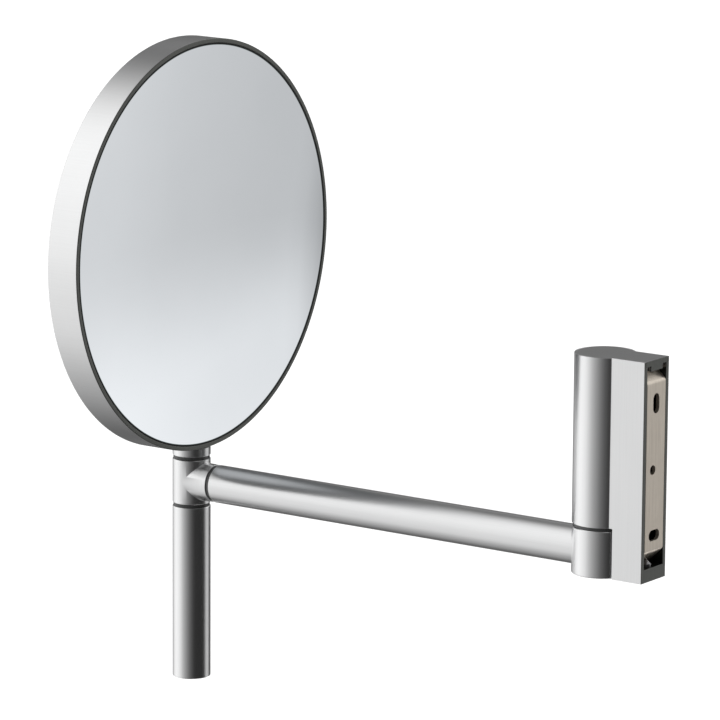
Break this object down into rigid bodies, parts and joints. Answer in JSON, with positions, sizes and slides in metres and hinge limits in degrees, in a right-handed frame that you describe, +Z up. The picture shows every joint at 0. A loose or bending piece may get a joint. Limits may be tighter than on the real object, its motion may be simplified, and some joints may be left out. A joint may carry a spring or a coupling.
{
  "type": "wall-mounted shaving mirror",
  "caption": "Round two-sided shaving mirror with a handle below it, on a tilting tee at the end of an arm that swings from a slim wall bracket.",
  "frame": {"origin": "middle of the wall-screw pattern, on the plane where the bracket meets the wall", "axes": "+Z up, +Y into the wall, so the arm reaches out along -Y at rest and +X is sideways along the wall"},
  "size_m": [0.212, 0.2916, 0.334],
  "materials": {
    "satin_aluminium": "fine satin brushed",
    "stainless_plate": "rolled and bent sheet",
    "fastener_steel": "bright turned",
    "spring_steel": "oiled blue-grey",
    "bush_bronze": "sintered",
    "ring_plastic": "smooth",
    "washer_plastic": "smooth",
    "carrier_plastic": "fine texture",
    "mirror_glass": "polished and silvered",
    "seal_rubber": "smooth",
    "foam_tape": "soft"
  },
  "bodies": {
    "wall_bracket": {"bracket_housing": "satin_aluminium", "top_cap": "satin_aluminium", "wall_plate": "stainless_plate", "set_screw": "fastener_steel", "pivot_bolt": "fastener_steel", "pivot_ring": "ring_plastic", "pivot_washer": "washer_plastic", "pivot_springs": "spring_steel", "pivot_nut": "fastener_steel"},
    "arm": {"arm_hub": "satin_aluminium", "hub_bush_upper": "bush_bronze", "hub_bush_lower": "bush_bronze", "hub_cover": "satin_aluminium", "arm_tube": "satin_aluminium", "arm_grub_screw": "fastener_steel", "tilt_plug": "satin_aluminium", "tilt_bush": "bush_bronze"},
    "tee": {"tee_body": "satin_aluminium", "tilt_axle": "fastener_steel", "tilt_ring": "ring_plastic", "tilt_washer": "washer_plastic", "tilt_springs": "spring_steel", "tilt_nut": "fastener_steel", "tee_bush_upper": "bush_bronze", "tee_bush_lower": "bush_bronze"},
    "head": {"spindle": "fastener_steel", "neck": "satin_aluminium", "turn_ring_upper": "ring_plastic", "turn_ring_lower": "ring_plastic", "handle_insert": "satin_aluminium", "handle_tube": "satin_aluminium", "handle_springs": "spring_steel", "handle_nut": "fastener_steel", "handle_end_plug": "satin_aluminium", "mirror_frame": "satin_aluminium", "mirror_carrier": "carrier_plastic", "stem_socket": "fastener_steel", "plain_glass": "mirror_glass", "magnifying_glass": "mirror_glass", "glass_seal_front": "seal_rubber", "glass_seal_rear": "seal_rubber", "foam_tape_front": "foam_tape", "foam_tape_rear": "foam_tape"}
  },
  "joints": [
    {"name": "arm_swing", "type": "hinge", "parent": "wall_bracket", "child": "arm", "pos_m": [0, -0.0295, -0.0436], "axis": [0, 0, 1], "range_deg": [-90, 90]},
    {"name": "head_tilt", "type": "hinge", "parent": "arm", "child": "tee", "pos_m": [0, -0.2817, -0.0436], "axis": [0, 1, 0], "range_deg": [-90, 90]},
    {"name": "mirror_turn", "type": "hinge", "parent": "tee", "child": "head", "pos_m": [0, -0.2817, -0.0436], "axis": [0, 0, 1], "continuous": true}
  ]
}
